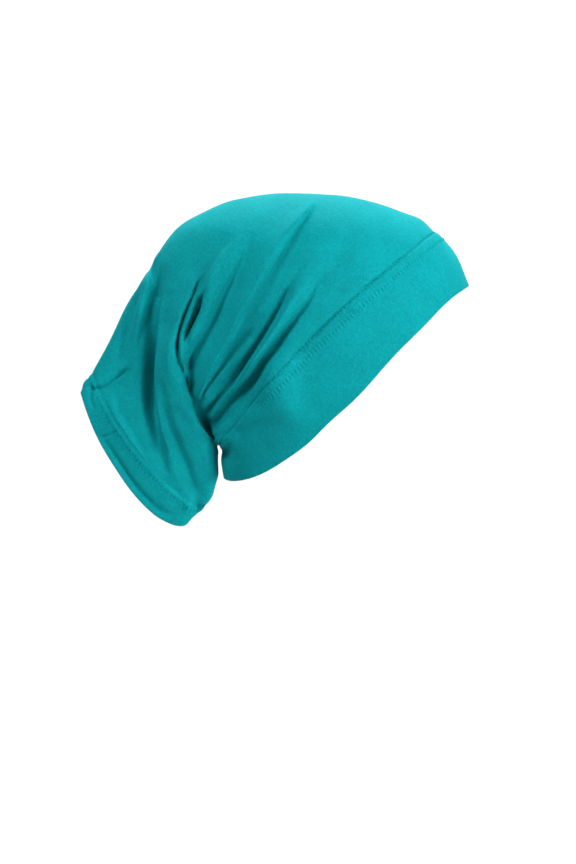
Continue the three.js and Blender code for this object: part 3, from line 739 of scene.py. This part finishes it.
hem_lengths = graded([(hem_near, 0.5), (hem_start + 6, 0.6), (hem_start + 8, 1), (hem_far, 0.9)])
hem_outer = [(a, hem_lift(a)) for a in hem_lengths]
hem_inner = [(a, -CLOTH) for a in graded([(hem_near, 1.5), (hem_far, 3)])][::-1]
hem_edge = rounded_edge(TUBE_LENGTH, -1, HEM_LIFT, -CLOTH)
tail_hem = cloth_wall("hem_cloth", hem_outer + hem_edge + hem_inner, HEM_COLUMNS, hem_relief)
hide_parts("tail_hem")
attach(tail_hem, "root")

# %% [markdown]
# ## Shader parts
# Both materials of the cap, cloth and thread, are made of the same few parts: noise fixed to the object,
# a mix of a darker and a lighter tone, and bumps laid one on another.

# %% Shader helpers
TONE_SPREAD = 0.2


def shader_node(tree, kind, x, y, **values):
    n = tree.nodes.new(kind)
    n.location = (x, y)
    for key, value in values.items():
        setattr(n, key, value)
    return n


def set_inputs(shader, values):
    for name, value in values.items():
        shader.inputs[name].default_value = value


def math_node(tree, operation, x, y, a, b=None):
    """One step of arithmetic. a and b are numbers or outputs of other nodes."""
    n = shader_node(tree, "ShaderNodeMath", x, y, operation=operation)
    for socket, value in zip(n.inputs, (a, b)):
        if value is None:
            continue
        if isinstance(value, (int, float)):
            socket.default_value = value
        else:
            tree.links.new(value, socket)
    return n.outputs[0]


def noise(tree, place, scale, detail, x, y):
    n = shader_node(tree, "ShaderNodeTexNoise", x, y)
    set_inputs(n, {"Scale": scale, "Detail": detail})
    tree.links.new(place.outputs["Object"], n.inputs["Vector"])
    return n.outputs["Fac"]


def two_tones(tree, factor, colour, x, y):
    mix = shader_node(tree, "ShaderNodeMix", x, y, data_type="RGBA")
    mix.inputs["A"].default_value = (*[c * (1 - TONE_SPREAD) for c in colour], 1)
    mix.inputs["B"].default_value = (*[min(1, c * (1 + TONE_SPREAD)) for c in colour], 1)
    tree.links.new(factor, mix.inputs["Factor"])
    return mix.outputs["Result"]


def bump(tree, height, strength, distance, x, y, normal=None):
    n = shader_node(tree, "ShaderNodeBump", x, y)
    set_inputs(n, {"Strength": strength, "Distance": distance})
    tree.links.new(height, n.inputs["Height"])
    if normal is not None:
        tree.links.new(normal, n.inputs["Normal"])
    return n.outputs["Normal"]


def paint(piece, material):
    piece.data.materials.clear()
    piece.data.materials.append(material)


# %% [markdown]
# ## Jersey
# Jersey is a fine weft knit: columns of small V-shaped stitches that run along the tube. Its look is soft
# and dull, with a slight bloom where it turns away from the eye, because tiny fibres stand off the yarn.
# The colour is nearly even. A faint cloudiness shows where the knit is stretched, and a fine fleck where
# the fibres are. Knit and fuzz are too fine for the mesh, so they are bumps.

# %% Knit material
TEAL = (0.002, 0.25, 0.275)
JERSEY_LOOK = {
    "Roughness": 0.82,
    "Specular IOR Level": 0.03,
    "Sheen Weight": 0.12,
    "Sheen Roughness": 0.45,
    "Sheen Tint": (0.05, 0.9, 1.0, 1),
}
WALE = 0.0011
COURSE = 0.0008
LEG_SLANT = 2.6
LEG_SHARE = 0.7
FLECK_SHARE = 2.2


def knit_height(tree, place):
    """The height of the knit: rounded columns with slanting legs across them."""
    split = shader_node(tree, "ShaderNodeSeparateXYZ", -1200, -300)
    tree.links.new(place.outputs["UV"], split.inputs["Vector"])
    wale = math_node(tree, "MULTIPLY", -1000, -250, split.outputs["X"], 2 * math.pi / WALE)
    course = math_node(tree, "MULTIPLY", -1000, -450, split.outputs["Y"], 2 * math.pi / COURSE)
    ribs = math_node(tree, "COSINE", -800, -250, wale)
    half_wale = math_node(tree, "MULTIPLY", -950, -350, wale, 0.5)
    wave = math_node(tree, "SINE", -900, -350, half_wale)
    slant = math_node(tree, "ABSOLUTE", -800, -350, wave)
    leaning = math_node(tree, "MULTIPLY", -750, -500, slant, LEG_SLANT)
    legs = math_node(tree, "COSINE", -600, -450, math_node(tree, "ADD", -700, -450, course, leaning))
    faint_legs = math_node(tree, "MULTIPLY", -500, -450, legs, LEG_SHARE)
    return math_node(tree, "ADD", -450, -350, ribs, faint_legs)


def jersey(name, colour):
    material = bpy.data.materials.new(name)
    material.use_nodes = True
    tree = material.node_tree
    tree.nodes.clear()
    out = shader_node(tree, "ShaderNodeOutputMaterial", 900, 0)
    cloth = shader_node(tree, "ShaderNodeBsdfPrincipled", 600, 0)
    set_inputs(cloth, JERSEY_LOOK)
    tree.links.new(cloth.outputs[0], out.inputs[0])
    place = shader_node(tree, "ShaderNodeTexCoord", -1400, 200)
    clouds = noise(tree, place, 55, 4, -900, 300)
    fleck = noise(tree, place, 560, 3, -900, 50)
    speckle = math_node(tree, "MULTIPLY", -800, 100, fleck, FLECK_SHARE)
    tones = shader_node(tree, "ShaderNodeMapRange", -450, 200)
    set_inputs(tones, {"From Min": 0.9, "From Max": 2.3})
    tree.links.new(math_node(tree, "ADD", -650, 200, clouds, speckle), tones.inputs["Value"])
    tree.links.new(two_tones(tree, tones.outputs["Result"], colour, -200, 200), cloth.inputs["Base Color"])
    knit = bump(tree, knit_height(tree, place), 0.25, 0.00012, -100, -300)
    fuzz = bump(tree, fleck, 0.35, 0.0005, 200, -200, knit)
    tree.links.new(fuzz, cloth.inputs["Normal"])
    return material


paint(crown_tube, jersey("tube_jersey", TEAL))
paint(face_band, jersey("band_jersey", TEAL))
paint(tail_hem, jersey("hem_jersey", TEAL))
print("knit of", WALE * 1000, "by", COURSE * 1000, "mm")

# %% [markdown]
# ## Thread
# The sewing thread has nearly the cloth's own colour, set a little lighter as a painted sheen. Its twist
# shows only as a fine unevenness.

# %% Thread material
THREAD_LOOK = {"Roughness": 0.85, "Specular IOR Level": 0.03}


def thread(name, colour):
    material = bpy.data.materials.new(name)
    material.use_nodes = True
    tree = material.node_tree
    yarn = tree.nodes["Principled BSDF"]
    set_inputs(yarn, THREAD_LOOK)
    place = shader_node(tree, "ShaderNodeTexCoord", -800, 0)
    twist = noise(tree, place, 1500, 2, -600, 0)
    tree.links.new(two_tones(tree, twist, colour, -300, 0), yarn.inputs["Base Color"])
    return material


# a little lighter than the cloth's teal: painted sheen of the thread
teal_thread = thread("teal_thread", (0.002, 0.26, 0.285))
print("thread:", teal_thread.name)

# %% [markdown]
# ## Stitches
# Each row is a line of short thread segments that dive into the cloth at both ends. One stitch is a
# small stretched ball, copied all round the loop in one mesh. A curve with a bevel could be one long
# thread, but in the real seam only these short tops are seen.

# %% Stitch rows
STITCH_LENGTH = 2.2
STITCH_THICK = 0.45
STITCH_WOBBLE = 0.05
ROW_COLUMNS = 300
INNER_ROW_LIFT = BAND_LIFT + 0.05


def stitch_shape():
    """One stitch as places and faces, from a ball."""
    bpy.ops.object.select_all(action="DESELECT")
    bpy.ops.mesh.primitive_uv_sphere_add(segments=6, ring_count=5, radius=1)
    seed = bpy.context.object
    ball = np.empty(len(seed.data.vertices) * 3)
    seed.data.vertices.foreach_get("co", ball)
    ball = ball.reshape(-1, 3) * [STITCH_THICK / 2, STITCH_THICK / 2, STITCH_LENGTH / 2]
    faces = [tuple(p.vertices) for p in seed.data.polygons]
    bpy.data.objects.remove(seed)
    return ball, faces


def stitch_row(name, along, lift, count, material):
    """Stitches round one loop, in one mesh, each between two needle holes."""
    places, outwards, _ = thin_grid(along, ROW_COLUMNS)
    closed, out = np.vstack([places[1], places[1][:1]]), outwards[1]
    steps = np.arange(len(closed))
    ball, faces = stitch_shape()
    wobble = np.random.default_rng(7)
    vertices, polygons = [], []
    for k in range(count):
        middle = (k + 0.5) * steps[-1] / count
        ends = [middle - 0.5, middle, middle + 0.5]
        a, here, b = (np.array([np.interp(e, steps, closed[:, c]) for c in range(3)]) for e in ends)
        direction = unit(b - a)
        i = int(middle) % len(out)
        up = unit(out[i] - direction * (out[i] @ direction))
        across = np.cross(up, direction)
        direction = unit(direction + across * wobble.normal(0, STITCH_WOBBLE))
        turned = ball @ np.stack([across, up, direction])
        base = len(vertices) * len(ball)
        vertices.append(here + up * lift + turned)
        polygons += [tuple(base + v for v in f) for f in faces]
    mesh = bpy.data.meshes.new(name)
    mesh.from_pydata((np.concatenate(vertices) / 1000).tolist(), [], polygons)
    row = bpy.data.objects.new(name, mesh)
    bpy.context.collection.objects.link(row)
    mesh.polygons.foreach_set("use_smooth", np.ones(len(mesh.polygons), bool))
    paint(row, material)
    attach(row, "root")
    print(name, count, "stitches")
    return row


rows = [
    stitch_row("band_stitches_outer", BAND_ROWS[0], 0.02, band_count, teal_thread),
    stitch_row("band_stitches_inner", BAND_ROWS[1], INNER_ROW_LIFT, band_count, teal_thread),
    stitch_row("hem_stitches", HEM_ROWS[0], 0.0, hem_count, teal_thread),
]

# %% [markdown]
# ## The backdrop
# The cap is shown against white paper that curves up behind it: a plane whose back edge is drawn upward
# and rounded. The floor lies far below, so that the cap's shadow isn't seen.

# %% Paper
FLOOR_HEIGHT = -0.9
WALL_HEIGHT = 4


def plain_paint(name, grey):
    material = bpy.data.materials.new(name)
    material.use_nodes = True
    look = {"Base Color": (grey, grey, grey, 1), "Roughness": 0.9}
    set_inputs(material.node_tree.nodes["Principled BSDF"], look)
    return material


def select_edges(piece, chosen):
    """Selects the edges whose two ends both fit, in edit mode."""
    bpy.ops.object.mode_set(mode="OBJECT")
    for edge in piece.data.edges:
        edge.select = all(chosen(piece.data.vertices[v].co) for v in edge.vertices)
    bpy.ops.object.mode_set(mode="EDIT")


bpy.ops.object.select_all(action="DESELECT")
bpy.ops.mesh.primitive_plane_add(size=1, location=(0, 0, FLOOR_HEIGHT))
sweep = bpy.context.object
sweep.name = "floor"
sweep.scale = (9, 5, 1)
bpy.ops.object.transform_apply(location=True, rotation=False, scale=True)
bpy.ops.object.mode_set(mode="EDIT")
bpy.ops.mesh.select_mode(type="EDGE")
bpy.ops.mesh.select_all(action="DESELECT")
select_edges(sweep, lambda co: co.y > 2)
bpy.ops.mesh.extrude_region_move(TRANSFORM_OT_translate={"value": (0, 0, WALL_HEIGHT)})
select_edges(sweep, lambda co: co.y > 2 and co.z < FLOOR_HEIGHT + 0.01)
bpy.ops.mesh.bevel(offset=0.8, segments=16)
bpy.ops.object.mode_set(mode="OBJECT")
bpy.ops.object.shade_smooth()
paint(sweep, plain_paint("pale_paper", 0.9))
print("paper with", len(sweep.data.polygons), "faces")

# %% [markdown]
# ## Light
# The main lamp stands high, on the tail's side of the viewer, so that it rakes across the folds. One at
# the face and one low down fill the shadows. One from the front catches the edge of the band, and one
# from behind the far side rims the crown. One broad lamp would be simpler, but it flattens the folds. Two
# wide lamps light the paper alone.

# %% Lamps
AIM = (0, 0, -0.1)
LAMP_SIZE = (0.5, 0.4)
LAMP_SPREAD = 1.0
LAMPS = [
    ("main", (-0.566, -0.98, 1.031), 2.65),
    ("face_side", (0.993, -1.184, 0.314), 1.2),
    ("forehead", (1.58, -0.2, -0.05), 1.9),
    ("low_fill", (0.894, -1.065, -0.662), 1.05),
    ("rim", (0, 0.8, 1.286), 4.0),
]


def softbox(name, place, target, size, watts, spread=math.pi):
    light = bpy.data.lights.new(name, "AREA")
    light.shape = "RECTANGLE"
    light.size, light.size_y = size
    light.energy = watts
    light.spread = spread
    lamp = bpy.data.objects.new(name, light)
    bpy.context.collection.objects.link(lamp)
    lamp.location = place
    lamp.rotation_euler = (Vector(target) - Vector(place)).to_track_quat("-Z", "Y").to_euler()
    return lamp


for name, place, watts in LAMPS:
    softbox(name, place, AIM, LAMP_SIZE, watts, LAMP_SPREAD)
for name, side in (("backdrop_left", -1), ("backdrop_right", 1)):
    softbox(name, (1.2 * side, 0.9, 1.2), (0.6 * side, 2.5, 0.0), (0.6, 1.2), 34)

world = bpy.data.worlds.new("studio")
bpy.context.scene.world = world
world.use_nodes = True
set_inputs(world.node_tree.nodes["Background"], {"Color": (1, 1, 1, 1), "Strength": 0.05})
print(len(LAMPS) + 2, "lamps")

# %% [markdown]
# ## Camera
# The cap is seen in right profile from far away with a long lens, so that its outline is nearly the flat
# one of the side view.

# %% Camera
camera_data = bpy.data.cameras.new("profile_camera")
camera = bpy.data.objects.new("profile_camera", camera_data)
bpy.context.collection.objects.link(camera)
camera.location = (0.0021, -2.4, -0.167)
camera.rotation_euler = (math.pi / 2, 0, 0)
camera_data.lens = 142.9
camera_data.sensor_width = 36
bpy.context.scene.camera = camera
bpy.context.scene.view_settings.view_transform = "Standard"
print("camera at", list(camera.location))
